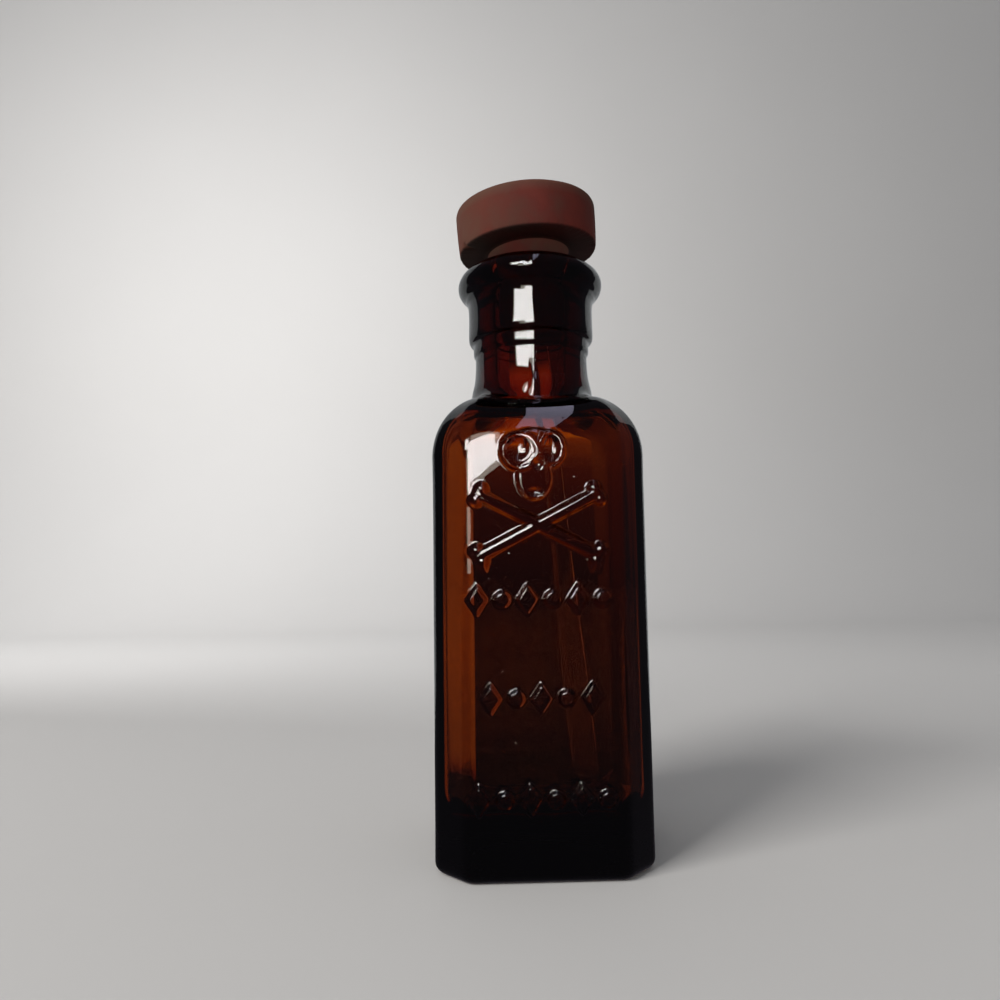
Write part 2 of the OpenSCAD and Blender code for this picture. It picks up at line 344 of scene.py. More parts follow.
def mark_heights():
    """Three rows of lozenges and beads in turn."""
    high = np.zeros_like(map_x)
    for row, count in enumerate(ROW_MARKS):
        for i in range(count):
            x = (i - (count - 1) / 2) * MARK_PITCH
            z = TOP_ROW_Z - row * ROW_DROP
            mark = lozenge(x, z) if i % 2 == 0 else bead(x, z)
            high = np.maximum(high, mark)
    return high


marks = mark_heights()
print("marks in all:", sum(ROW_MARKS))

# %% Blur the map as the mould leaves the glass
SOFTEN = 0.085
BLUR_REACH = 3


def soften(field, width):
    """Blurs the map by a bell curve of the given width."""
    reach = int(BLUR_REACH * width / MAP_STEP)
    bell = np.exp(-0.5 * (np.arange(-reach, reach + 1) * MAP_STEP / width) ** 2)
    bell /= bell.sum()
    for axis in (0, 1):
        field = np.apply_along_axis(np.convolve, axis, field, bell, "same")
    return field


heights = soften(np.maximum.reduce([skull, bones, marks]), SOFTEN)
print("after the blur the highest point rises", round(float(heights.max()), 2), "mm")

# %% Read heights off the map
RELIEF_X = -0.4


def height_at(x, z):
    """Height of the raised work at points of the front, which carries it slightly left of the middle."""
    col = np.clip((x - RELIEF_X + MAP_HALF_W) / MAP_STEP, 0, map_x.shape[1] - 1.001)
    row = np.clip((z - MAP_LOW_Z) / MAP_STEP, 0, map_x.shape[0] - 1.001)
    c, r = col.astype(int), row.astype(int)
    u, v = col - c, row - r
    upper = heights[r + 1, c] * (1 - u) + heights[r + 1, c + 1] * u
    lower = heights[r, c] * (1 - u) + heights[r, c + 1] * u
    return lower * (1 - v) + upper * v


# %% [markdown]
# ## The waves of old glass
# Moulded glass is never flat. The outside has long, shallow waves where it cooled against the iron, and the
# inside, which only air has touched, is wavier, in streaks that run down the wall. Sums of a few sine waves
# with odd directions give that without any random number, and they always come out the same.

# %% Sum of sine waves
WAVE_DIRECTIONS = [(1.0, 0.4, 0.23), (-0.7, 0.9, 0.31), (0.3, -1.1, -0.41), (1.4, 1.2, 0.57)]
WAVE_SPREAD = 5.4
PHASE_STEP = 1.7
WAVE_DECAY = 0.5


def waves(x, y, z, long, size):
    """Sum of sine waves between 0 and the size, the longest of them about as long as given."""
    total = np.zeros_like(x)
    for k, (a, b, c) in enumerate(WAVE_DIRECTIONS):
        phase = (a * x + b * y + c * z) * 2 * math.pi / long + PHASE_STEP * k * k
        total += np.sin(phase) / (1 + WAVE_DECAY * k)
    return size * (0.5 + total / WAVE_SPREAD)


# %% [markdown]
# ## The outside of the bottle
# From the middle of the base the rings run outwards over a shallow hollow, round the heel, up the body in
# fine steps wherever there is raised work, and over the shoulder, which is an ellipse a little higher than
# it is deep. There each point of the square plan takes its own curved path to a point on the round neck. A
# straight jump would leave a hard fold at the foot of the neck.

# %% Base and heel
HEEL_R = 1.2
PUSH_UP = 0.6
PUSH_UP_R = 8.0
CUT_SHARE = 0.9
BASE_START = 0.06
BASE_STEPS = 14
HEEL_STEPS = 7


def shrunk_plan(by):
    """Plan of the body drawn in on all sides; its edges get sharper where the cut corners run out."""
    cut = CORNER_CUT - by * (2 - math.sqrt(2))
    soft = min(EDGE_ROUND, CUT_SHARE * cut / (2 - math.sqrt(2)))
    return cut_plan(BODY_W - 2 * by, BODY_D - 2 * by, cut, soft)


def base_rings():
    """Underside with its shallow hollow, then the heel."""
    flat = shrunk_plan(HEEL_R)
    rings = []
    for share in np.linspace(BASE_START, 1, BASE_STEPS):
        plan = flat * share
        hollow = PUSH_UP * np.clip(1 - (np.hypot(*plan.T) / PUSH_UP_R) ** 2, 0, 1)
        rings.append(np.column_stack([plan, hollow]))
    for turn in np.radians(np.linspace(12, 90, HEEL_STEPS)):
        rings.append(ring(shrunk_plan(HEEL_R * (1 - math.sin(turn))), HEEL_R * (1 - math.cos(turn))))
    return rings


outside = base_rings()
print("rings of the base:", len(outside))

# %% Wall and shoulder
SHOULDER_R = 6.5
SHOULDER_Z = 45.2
SHOULDER_RISE = 7.5
SHOULDER_TURN = 70
SKULL_TURN = 35
SKULL_STEPS = 34
UPPER_STEPS = 9
FINE_STEP = 0.115
COARSE_STEP = 0.55
RELIEF_BANDS = [(6.4, 10.7), (16.8, 21.1), (27.2, 31.5), (32.7, 47.0)]


def wall_heights(low, high):
    """Heights of the rings up the wall, close together where the front is raised."""
    levels = [low]
    while levels[-1] < high - FINE_STEP / 2:
        here = levels[-1]
        fine = any(a <= here + COARSE_STEP / 2 <= b for a, b in RELIEF_BANDS)
        levels.append(min(high, here + (FINE_STEP if fine else COARSE_STEP)))
    return levels[1:]


def shoulder_rings():
    """Round shoulder, in finer steps where the skull reaches onto it, up to the sweep of the neck."""
    rings = []
    fine = np.linspace(1, SKULL_TURN, SKULL_STEPS)
    coarse = np.linspace(SKULL_TURN, SHOULDER_TURN, UPPER_STEPS)[1:]
    for turn in np.radians([*fine, *coarse]):
        drawn_in = SHOULDER_R * (1 - math.cos(turn))
        rings.append(ring(shrunk_plan(drawn_in), SHOULDER_Z + SHOULDER_RISE * math.sin(turn)))
    return rings


body = [ring(body_plan, z) for z in wall_heights(HEEL_R, SHOULDER_Z)] + shoulder_rings()
print("rings of wall and shoulder:", len(body))

# %% [markdown]
# ## Pressing the front
# All four walls sink in long waves, but the front keeps only a tenth of them. The camera is so near that a
# wave of a few hundredths of a millimetre there would move a mirrored window by several pixels and break it
# up.

# %% Push out the raised work and let the walls sink
FRONT_DEPTH = 0.3
WALL_WAVE = 0.05
WALL_WAVE_LONG = 13
FRONT_CALM = 0.1
WAVE_FADE = 3


def emboss(rings):
    """Pushes the front out by the raised work, and lets all sides sink in long waves."""
    rings = np.array(rings)
    x, y, z = rings[..., 0], rings[..., 1], rings[..., 2]
    front = y < y.min(axis=1, keepdims=True) + FRONT_DEPTH
    raised = np.where(front & (z > MAP_LOW_Z) & (z < MAP_HIGH_Z), height_at(x, z), 0)
    fade = np.clip((z - HEEL_R) / WAVE_FADE, 0, 1) * np.clip((SHOULDER_Z - z) / WAVE_FADE, 0, 1)
    sink = waves(x, y, z, WALL_WAVE_LONG, WALL_WAVE) * fade
    sink = np.where(front, FRONT_CALM * sink, sink)
    rings[..., 0] -= np.sign(x) * sink * (np.abs(x) > BODY_W / 2 - FRONT_DEPTH)
    rings[..., 1] -= np.sign(y) * sink * (np.abs(y) > BODY_D / 2 - FRONT_DEPTH)
    rings[..., 1] -= raised
    return list(rings)


outside += emboss(body)
print("rings up to the end of the shoulder:", len(outside))

# %% [markdown]
# ## From the shoulder to the mouth
# The neck's profile is a line of arcs and short straights in the half plane of radius and height: a tapered
# foot, a plain neck, a thin bead, the collar and the rolled lip. The lip of a real bottle was shaped by a
# tool that was turned in the soft glass, so its profile is round all over, never a flat band with rounded
# corners, and the tool left short, faint waves behind it.

# %% Sweep each point from the shoulder to the neck
FOOT_R = 7.4
FOOT_Z = 54.4
FOOT_LEAVE = (-0.25, 1.5)
PULL_IN = 0.5
PULL_UP = 0.35
SWEEP_STEPS = 14


def sweep_rings(start, tangent, end_r, end_z, end_tangent):
    """Rings along cubic curves from a square ring to a circle, each point in its own upright plane."""
    turn = np.arctan2(start[:, 1], start[:, 0])
    start_r = np.hypot(start[:, 0], start[:, 1])
    travel = np.abs(start_r - end_r)
    r0, z0 = start_r, start[:, 2]
    r1, z1 = r0 + tangent[0] * travel * PULL_IN, z0 + tangent[1] * travel * PULL_UP
    r2, z2 = end_r - end_tangent[0], end_z - end_tangent[1]
    rings = []
    for t in np.linspace(0, 1, SWEEP_STEPS + 1)[1:]:
        a, b, c, d = (1 - t) ** 3, 3 * t * (1 - t) ** 2, 3 * t * t * (1 - t), t ** 3
        r = a * r0 + b * r1 + c * r2 + d * end_r
        z = a * z0 + b * z1 + c * z2 + d * end_z
        rings.append(np.column_stack([r * np.cos(turn), r * np.sin(turn), z]))
    return rings


shoulder_end = outside[-1]
slope = math.radians(SHOULDER_TURN)
outside += sweep_rings(shoulder_end, (-math.sin(slope), math.cos(slope)), FOOT_R, FOOT_Z, FOOT_LEAVE)
print("rings up to the foot of the neck:", len(outside))

# %% Circles of the neck
neck_turn = np.arctan2(shoulder_end[:, 1], shoulder_end[:, 0])


def circle_rings(profile):
    """Circles at the neck's own directions, one for each radius and height."""
    across = np.column_stack([np.cos(neck_turn), np.sin(neck_turn)])
    return [ring(across * r, z) for r, z in profile]


def smooth_line(points, step):
    """Even steps along a line through the points, with its corners softened."""
    line = np.array(points, float)
    for _ in range(2):
        near, far = line[:-1] * 0.75 + line[1:] * 0.25, line[:-1] * 0.25 + line[1:] * 0.75
        line = np.concatenate([line[:1], np.stack([near, far], 1).reshape(-1, 2), line[-1:]])
    length = np.concatenate([[0], np.cumsum(np.hypot(*np.diff(line, axis=0).T))])
    even = np.linspace(0, length[-1], max(2, round(length[-1] / step)) + 1)
    return list(zip(np.interp(even, length, line[:, 0]), np.interp(even, length, line[:, 1])))


# %% Profile of neck, collar and lip
NECK_R = 6.95
BEAD_LOW = 58.9
COLLAR_Z = 60.5
COLLAR_R = 7.8
LIP_Z = 65.8
LIP_R = 9.05
LIP_ROUND = 1.75
LIP_MIDDLE_Z = 67.75
PROFILE_STEP = 0.17

neck_line = [(FOOT_R, FOOT_Z), (7.12, 55.6), (6.99, 56.9), (NECK_R, 57.9), (NECK_R, BEAD_LOW - 0.25)]
bead_line = [(NECK_R, BEAD_LOW - 0.1), (7.18, BEAD_LOW + 0.12), (7.2, BEAD_LOW + 0.6), (7.2, COLLAR_Z - 0.2),
             (7.26, COLLAR_Z - 0.02)]
collar_line = [(7.5, COLLAR_Z + 0.02), (7.72, COLLAR_Z + 0.25), (COLLAR_R, COLLAR_Z + 0.8), (7.77, 62.4),
               (7.75, 63.8), (7.77, 64.9), (7.85, 65.6)]
lip_line = ([(8.05, LIP_Z + 0.05)] + arc(LIP_R - LIP_ROUND, LIP_MIDDLE_Z, LIP_ROUND, -62, 62, 9)
            + [(7.6, 69.72), (6.8, 69.93), (5.9, 69.97), (5.25, 69.9), (4.85, 69.72), (4.68, 69.4)])
outer_profile = smooth_line(neck_line + bead_line + collar_line + lip_line, PROFILE_STEP)
print("the lip is", round(2 * max(r for r, z in outer_profile), 2), "mm across")

# %% Leave the finishing tool's waves
NECK_WAVE = 0.03
NECK_WAVE_LONG = 4.2
NECK_FADE = 1.5
CALM_LIP_Z = LIP_Z + 3


def toolmarks(rings):
    """Lets the neck sink in short waves, which start above its foot and end on the lip."""
    rings = np.array(rings)
    x, y, z = rings[..., 0], rings[..., 1], rings[..., 2]
    fade = np.clip((z - FOOT_Z) / NECK_FADE, 0, 1)
    keep = 1 - waves(x, y, z, NECK_WAVE_LONG, NECK_WAVE) / np.hypot(x, y) * fade
    keep = np.where(z < CALM_LIP_Z, keep, 1)
    rings[..., 0] *= keep
    rings[..., 1] *= keep
    return list(rings)


outside += toolmarks(circle_rings(outer_profile[1:]))
print("rings up to the mouth:", len(outside))

# %% [markdown]
# ## The inside of the bottle
# The hollow was blown, so its corners are round and its walls are thick and uneven. That thickness is what
# makes the glass look so dark, and the round inner corners are what make the bright amber bands down both
# sides of the front. The stopper's plug fits the bore, so the bore keeps the CAD's cone exactly.

# %% Sizes of the hollow and its plan
WALL_T = 1.6
CORNER_T = 1.4
FLOOR_T = 4.5
INNER_ROUND = 1.6
LEAST_CUT = 1.0
INNER_W = BODY_W - 2 * WALL_T
INNER_D = BODY_D - 2 * WALL_T
INNER_CUT = CORNER_CUT - 2 * WALL_T + math.sqrt(2) * CORNER_T


def inner_plan(by):
    """Plan of the hollow, drawn in on all sides."""
    cut = max(INNER_CUT - by * (2 - math.sqrt(2)), LEAST_CUT)
    return cut_plan(INNER_W - 2 * by, INNER_D - 2 * by, cut, INNER_ROUND)


print("the hollow measures", round(INNER_W, 2), "by", round(INNER_D, 2))

# %% The bore
MOUTH_R = 4.6
THROAT_R = 3.9
THROAT_Z = 50.4
BORE_LOW = 53.6
BORE_TOP = 69.1
BORE_STEPS = 34


def bore_radius(z):
    """Radius of the conical bore."""
    return THROAT_R + (MOUTH_R - THROAT_R) * (z - THROAT_Z) / (GLASS_H - THROAT_Z)


bore = circle_rings([(bore_radius(z), z) for z in np.linspace(BORE_TOP, BORE_LOW, BORE_STEPS)])
print("the bore narrows to", round(bore_radius(BORE_LOW), 2), "mm in radius")

# %% Inner shoulder, walls and floor
HOLLOW_ROUND = 4.4
BORE_LEAVE = (-0.05, 2.0)
ARCH_STEPS = 9
WALL_STEPS = 78
FLOOR_ARCH_STEPS = 10
FLOOR_STEPS = 12


def hollow_rings():
    """Inner shoulder, walls and floor, from the bore down."""
    top, low = THROAT_Z, FLOOR_T
    turns = np.radians(np.linspace(78, 6, ARCH_STEPS))
    arch = [ring(inner_plan(HOLLOW_ROUND * (1 - math.cos(t))), top - HOLLOW_ROUND * (1 - math.sin(t)))
            for t in turns]
    edge_slope = (-math.sin(turns[0]), math.cos(turns[0]))
    rise = sweep_rings(arch[0], edge_slope, bore_radius(BORE_LOW), BORE_LOW, BORE_LEAVE)
    rings = rise[:-1][::-1] + arch
    for z in np.linspace(top - HOLLOW_ROUND, low + HOLLOW_ROUND, WALL_STEPS):
        rings.append(ring(inner_plan(0), z))
    for turn in np.radians(np.linspace(8, 84, FLOOR_ARCH_STEPS)):
        drawn_in = HOLLOW_ROUND * (1 - math.cos(turn))
        rings.append(ring(inner_plan(drawn_in), low + HOLLOW_ROUND * (1 - math.sin(turn))))
    floor_plan = inner_plan(HOLLOW_ROUND)
    for share in np.linspace(0.97, BASE_START, FLOOR_STEPS):
        rings.append(ring(floor_plan * share, low))
    return rings


# %% Streaks down the inner walls, and the finished glass
STREAK_FADE = 6
FINE_STREAK = (5.1, 0.12)
FINE_STRETCH = 0.25
BROAD_STREAK = (11.0, 0.16)
BROAD_STRETCH = 0.5


def ripple_inside(rings):
    """Streaks down the walls of the hollow; the wall only gets thicker, so nothing comes through it."""
    rings = np.array(rings)
    x, y, z = rings[..., 0], rings[..., 1], rings[..., 2]
    share = np.clip((BORE_LOW - z) / STREAK_FADE, 0, 1)
    fine = waves(x, y, z * FINE_STRETCH, *FINE_STREAK)
    broad = waves(x, y, z * BROAD_STRETCH, *BROAD_STREAK)
    sink = share * (fine + broad)
    away = np.hypot(x, y)
    rings[..., 0] -= x / away * sink
    rings[..., 1] -= y / away * sink
    rings[..., 2] += sink * np.clip((HOLLOW_ROUND + FLOOR_T - z) / HOLLOW_ROUND, 0, 1)
    return list(rings)


bottle = skin("bottle_glass", outside + bore + ripple_inside(hollow_rings()))

# %% [markdown]
# ## The rod
# The rod is a plain drawn glass rod with its lower end melted round in a flame. It sits askew in the rubber
# and leans more than the stopper does, so it is built upright about its own axis and turned about the
# mouth's middle.

# %% Lean things about the mouth
def leaning(points, angle):
    """Points given about an axis that leans by an angle, whose origin is the middle of the mouth."""
    points = np.asarray(points, float)
    x, y, z = points[..., 0], points[..., 1], points[..., 2]
    return np.stack([
        x * math.cos(angle) - z * math.sin(angle),
        y,
        x * math.sin(angle) + z * math.cos(angle) + GLASS_H,
    ], -1)


def turned_rings(profile, around):
    """Circles of one profile about the z axis."""
    turn = np.linspace(0, 2 * math.pi, around, endpoint=False)
    across = np.column_stack([np.cos(turn), np.sin(turn)])
    return np.array([ring(across * r, z) for r, z in profile])


# %% Build the rod
ROD_LEAN = math.radians(5.3)
HEAD_GAP = 2.35
ROD_IN_HEAD = 2.0
ROD_R = 1.25
ROD_TIP_GAP = 3.2
ROD_AROUND = 48
ROD_STEPS = 60
TIP_STEPS = 12
END_SHARES = (0.96, 0.1)
ROD_TOP = HEAD_GAP + ROD_IN_HEAD
ROD_LEN = ROD_TOP + ROD_R + (GLASS_H - ROD_R - FLOOR_T - ROD_TIP_GAP) / math.cos(ROD_LEAN)

rod_low = ROD_TOP - ROD_LEN
rod_profile = arc(0, rod_low + ROD_R, ROD_R, -84, 0, TIP_STEPS)
rod_profile += [(ROD_R, z) for z in np.linspace(rod_low + ROD_R, ROD_TOP, ROD_STEPS)[1:]]
rod_profile += [(ROD_R * share, ROD_TOP) for share in END_SHARES]
rod = skin("rod_glass", leaning(turned_rings(rod_profile, ROD_AROUND), ROD_LEAN))
print("the rod is", round(ROD_LEN, 1), "mm long")

# %% [markdown]
# ## The stopper
# The stopper is one moulding of red rubber: a broad head with a slightly bulging side, a grip below it, and
# a plug squeezed into the bore. Old rubber has lost its sharp corners, its faces are a little uneven, its
# lower edge is finely chipped, and there is a nick at the left. The chips are pushed into the mesh, not
# painted.

# %% Profile of the head
HEAD_LEAN = math.radians(3.2)
HEAD_R = 8.85
HEAD_H = 5.6
HEAD_BELLY = 4.8
HEAD_ROUND = 0.6
HEAD_EDGE = 0.25
HEAD_CROWN = 60.0
HEAD_UNDER_STEPS = 10
HEAD_SIDE_STEPS = 26
HEAD_TOP_STEPS = 18
GRIP_R = 5.05


def head_profile():
    """Head of the stopper about the leaning axis, from the grip up to the middle of the top."""
    low, top = HEAD_GAP, HEAD_GAP + HEAD_H

    def crowned(z):
        return HEAD_R - HEAD_CROWN + math.sqrt(HEAD_CROWN ** 2 - (z - low - HEAD_BELLY) ** 2)

    lower = crowned(low + HEAD_EDGE) - HEAD_EDGE
    upper = crowned(top - HEAD_ROUND) - HEAD_ROUND
    line = [(GRIP_R + 0.15, low + 0.02)]
    line += [(r, low) for r in np.linspace(GRIP_R + 0.6, lower, HEAD_UNDER_STEPS)]
    line += arc(lower, low + HEAD_EDGE, HEAD_EDGE, -80, 0, 5)
    side = np.linspace(low + HEAD_EDGE, top - HEAD_ROUND, HEAD_SIDE_STEPS)[1:-1]
    line += [(crowned(z), z) for z in side]
    line += arc(upper, top - HEAD_ROUND, HEAD_ROUND, 0, 80, 8)
    line += [(r, top) for r in np.linspace(upper - 0.2, 0.5, HEAD_TOP_STEPS)]
    return line


# %% Profile of the plug
PLUG_REACH = 9.4
PLUG_ROUND = 1.0
PLUG_SHIFT = 0.25
PLUG_GAP = 0.06
PLUG_FACE_STEPS = 6
PLUG_SIDE_STEPS = 16
SOCKET_GAP = 0.02


def plug_profile():
    """Upright plug, from the middle of its lower face up to the lip."""
    low_z = GLASS_H - PLUG_REACH
    slim = PLUG_SHIFT + PLUG_GAP
    low_r = bore_radius(low_z) - slim
    line = [(r, low_z) for r in np.linspace(ROD_R + SOCKET_GAP, low_r - PLUG_ROUND, PLUG_FACE_STEPS)]
    line += arc(low_r - PLUG_ROUND, low_z + PLUG_ROUND, PLUG_ROUND, -80, 0, 6)
    side = np.linspace(low_z + PLUG_ROUND, GLASS_H, PLUG_SIDE_STEPS)[1:]
    line += [(bore_radius(z) - slim, z) for z in side]
    return line


# %% Wear of the head
CHIP_DEEP = 0.09
NICK_DEEP = 0.35
NICK_TURN = math.radians(-158)
NICK_WIDE = 0.045
CHIP_BAND = 0.7
CHIPS_AROUND = 61
CHIP_GROUPS = 23
CHIP_DRIFT = 9
EDGE_INSET = 2
EDGE_FADE = 1.5
LIFT_SHARE = 0.6
HEAD_WAVE = 0.07
HEAD_WAVE_LONG = 7


def worn_edge(rings):
    """Head with an uneven side, fine chips along its lower edge and one nick at the left."""
    x, y, z = rings[..., 0], rings[..., 1], rings[..., 2]
    turn = np.arctan2(y, x)
    away = np.hypot(x, y)
    outer = np.clip((away - GRIP_R - EDGE_INSET) / EDGE_FADE, 0, 1)
    lower = np.clip(1 - (z - HEAD_GAP) / CHIP_BAND, 0, 1) * outer
    rhythm = np.sin(CHIPS_AROUND * turn + 2 * np.sin(CHIP_DRIFT * turn)) * np.sin(CHIP_GROUPS * turn + 1.3)
    chips = CHIP_DEEP * (0.5 + 0.5 * rhythm)
    nick = NICK_DEEP * np.exp(-((turn - NICK_TURN) / NICK_WIDE) ** 2)
    loss = (chips + nick) * lower + waves(x, y, z, HEAD_WAVE_LONG, HEAD_WAVE) * outer
    rings[..., 0] -= x / np.maximum(away, 0.1) * loss
    rings[..., 1] -= y / np.maximum(away, 0.1) * loss
    rings[..., 2] += (chips + nick) * lower * LIFT_SHARE
    return rings


# %% Build the stopper
STOPPER_AROUND = 320
SOCKET_STEPS = 24
SOCKET_END = 0.1
GRIP_STEPS = 10


def stopper_rings():
    """Socket, plug, grip and head as one closed skin."""
    socket_r = ROD_R + SOCKET_GAP
    socket = [(socket_r * SOCKET_END, ROD_TOP)]
    socket += [(socket_r, z) for z in np.linspace(ROD_TOP, -PLUG_REACH + 0.3, SOCKET_STEPS)]
    inner = leaning(turned_rings(socket, STOPPER_AROUND), ROD_LEAN)
    plug = turned_rings(plug_profile(), STOPPER_AROUND)
    plug[..., 0] += PLUG_SHIFT
    plug[0] = inner[-1]
    head = leaning(worn_edge(turned_rings(head_profile(), STOPPER_AROUND)), HEAD_LEAN)
    grip = [plug[-1] * (1 - share) + head[0] * share for share in np.linspace(0, 1, GRIP_STEPS)[1:-1]]
    return np.concatenate([inner[:-1], plug, np.array(grip), head])


stopper = skin("stopper_rubber", stopper_rings())

# %% [markdown]
# ## Materials
# Amber glass gets its colour from its depth, not from its surface: iron and sulphur in the melt swallow
# most of the blue light within half a millimetre, of the green within one and of the red only within two.
# So the surface is clear and the colour is a volume absorption, and thick parts turn nearly black without
# any painting.

# %% Helpers for node materials
def new_material(name):
    """Empty node material with its output node."""
    material = bpy.data.materials.new(name)
    material.use_nodes = True
    tree = material.node_tree
    tree.nodes.clear()
    output = tree.nodes.new("ShaderNodeOutputMaterial")
    return material, tree, output


def add_node(tree, kind, inputs=None, **settings):
    """Adds a node, sets its own settings, then its input values or links."""
    node = tree.nodes.new(kind)
    for key, value in settings.items():
        setattr(node, key, value)
    for key, value in (inputs or {}).items():
        if isinstance(value, bpy.types.NodeSocket):
            tree.links.new(value, node.inputs[key])
        else:
            node.inputs[key].default_value = value
    return node


def ramp(tree, value, stops):
    """Colour ramp through the given stops of place and colour."""
    node = add_node(tree, "ShaderNodeValToRGB", {"Fac": value})
    elements = node.color_ramp.elements
    while len(elements) < len(stops):
        elements.new(0.5)
    for element, (place, colour) in zip(elements, stops):
        element.position = place
        element.color = (*colour, 1)
    return node.outputs["Color"]


def noise(tree, place, scale, detail):
    """Noise pattern between 0 and 1."""
    pattern = add_node(tree, "ShaderNodeTexNoise", {"Vector": place, "Scale": scale, "Detail": detail})
    return pattern.outputs["Fac"]


# %% Amber glass
AMBER = (0.775, 0.5, 0.0)
AMBER_DEPTH = 2000
PIT_STOPS = [(0.0, (1, 1, 1)), (0.24, (1, 1, 1)), (0.29, (0, 0, 0))]


def amber_glass():
    """Clear surface with faint mould marks and rare pits over a strongly coloured volume."""
    material, tree, output = new_material("amber_glass")
    place = add_node(tree, "ShaderNodeTexCoord").outputs["Object"]
    long_waves = noise(tree, place, scale=260, detail=2)
    pits = noise(tree, place, scale=1500, detail=3)
    soft = add_node(tree, "ShaderNodeBump", {"Height": long_waves, "Strength": 0.03, "Distance": 0.2 * MM})
    marked = add_node(tree, "ShaderNodeBump", {
        "Height": ramp(tree, pits, PIT_STOPS), "Strength": 0.3, "Distance": 0.03 * MM,
        "Normal": soft.outputs["Normal"],
    })
    rough = add_node(tree, "ShaderNodeMapRange", {"Value": pits, "To Min": 0.0, "To Max": 0.03})
    shader = add_node(tree, "ShaderNodeBsdfPrincipled", {
        "Base Color": (1, 1, 1, 1), "Roughness": rough.outputs["Result"], "IOR": 1.52,
        "Transmission Weight": 1.0, "Normal": marked.outputs["Normal"],
    })
    volume = add_node(tree, "ShaderNodeVolumeAbsorption", {
        "Color": (*AMBER, 1), "Density": AMBER_DEPTH,
    })
    tree.links.new(shader.outputs["BSDF"], output.inputs["Surface"])
    tree.links.new(volume.outputs["Volume"], output.inputs["Volume"])
    return material


# %% Clear rod glass
CLEAR_TINT = (0.9, 0.96, 0.93)
CLEAR_DEPTH = 60


def rod_glass():
    """Clear drawn glass with faint lengthwise draw lines."""
    material, tree, output = new_material("rod_glass")
    place = add_node(tree, "ShaderNodeTexCoord").outputs["Object"]
    drawn = add_node(tree, "ShaderNodeMapping", {"Vector": place, "Scale": (1, 1, 0.05)})
    lines = noise(tree, drawn.outputs["Vector"], scale=2500, detail=2)
    bump = add_node(tree, "ShaderNodeBump", {"Height": lines, "Strength": 0.1, "Distance": 0.02 * MM})
    shader = add_node(tree, "ShaderNodeBsdfPrincipled", {
        "Base Color": (1, 1, 1, 1), "Roughness": 0.01, "IOR": 1.5,
        "Transmission Weight": 1.0, "Normal": bump.outputs["Normal"],
    })
    volume = add_node(tree, "ShaderNodeVolumeAbsorption", {
        "Color": (*CLEAR_TINT, 1), "Density": CLEAR_DEPTH,
    })
    tree.links.new(shader.outputs["BSDF"], output.inputs["Surface"])
    tree.links.new(volume.outputs["Volume"], output.inputs["Volume"])
    return material


# %% [markdown]
# ## Old red rubber
# The rubber was brick red once. Age has browned it in blotches and left pale dust in patches, and it is
# paler along its top edge and towards its left side. Painted shade darkens the underside of the head, and
# the grip below it is painted lighter, as if lit. The zones are measured along the stopper's own leaning
# axis, so they follow its edges and move with it.

# %% Zones of the rubber
RUBBER_STOPS = [(0.3, (0.15, 0.024, 0.017)), (0.5, (0.12, 0.021, 0.016)), (0.68, (0.09, 0.022, 0.016))]
# Pale brown that the dusty patches take; the top edge and the left side are mixed towards it as well.
PALE_BROWN = (0.12, 0.056, 0.04)
TOP_EDGE_PALE_STOPS = [(0.5, (0.05,) * 3), (0.86, (0.1,) * 3), (0.96, (0.75,) * 3)]
PATCH_STOPS = [(0.45, (0.0,) * 3), (0.7, (0.35,) * 3)]
LEFT_PALE_FROM = -2
LEFT_PALE_FULL = -9
LEFT_PALENESS = 0.7


def height_share(tree, place):
    """Height along the stopper's axis: one half at the underside of the head and 1 at its top."""
    axis = (-math.sin(HEAD_LEAN), 0, math.cos(HEAD_LEAN))
    along = add_node(tree, "ShaderNodeVectorMath", {0: place, 1: axis}, operation="DOT_PRODUCT")
    low = (GLASS_H * math.cos(HEAD_LEAN) + HEAD_GAP) * MM
    share = add_node(tree, "ShaderNodeMapRange", {
        "Value": along.outputs["Value"], "From Min": low - HEAD_H * MM, "From Max": low + HEAD_H * MM,
    })
    return share.outputs["Result"]


def pale_share(tree, place, blotches, height):
    """How pale the rubber is: along the top edge, in dusty patches and towards the left."""
    top_edge = ramp(tree, height, TOP_EDGE_PALE_STOPS)
    patches = ramp(tree, blotches, PATCH_STOPS)
    aside = add_node(tree, "ShaderNodeSeparateXYZ", {"Vector": place}).outputs["X"]
    left = add_node(tree, "ShaderNodeMapRange", {
        "Value": aside, "From Min": LEFT_PALE_FROM * MM, "From Max": LEFT_PALE_FULL * MM,
        "To Min": 0.0, "To Max": LEFT_PALENESS,
    })
    spots = add_node(tree, "ShaderNodeMath", {0: top_edge, 1: patches}, operation="ADD")
    paleness = add_node(tree, "ShaderNodeMath", {0: spots.outputs["Value"], 1: left.outputs["Result"]},
                    operation="ADD", use_clamp=True)
    return paleness.outputs["Value"]


# %% Rubber material
# Painted light and shade: everything below the head is painted lighter, as if lit, and a thin band on the
# underside of the head is painted darker, as if in shade.
GRIP_PAINTED_LIGHT = (1.6, 2.2, 2.2)
UNDERSIDE_PAINTED_SHADE = (0.3, 0.4, 0.42)
PAINTED_LIGHT_AND_SHADE_STOPS = [(0.0, GRIP_PAINTED_LIGHT), (0.488, GRIP_PAINTED_LIGHT), (0.492, UNDERSIDE_PAINTED_SHADE), (0.508, UNDERSIDE_PAINTED_SHADE),
               (0.53, (1, 1, 1))]


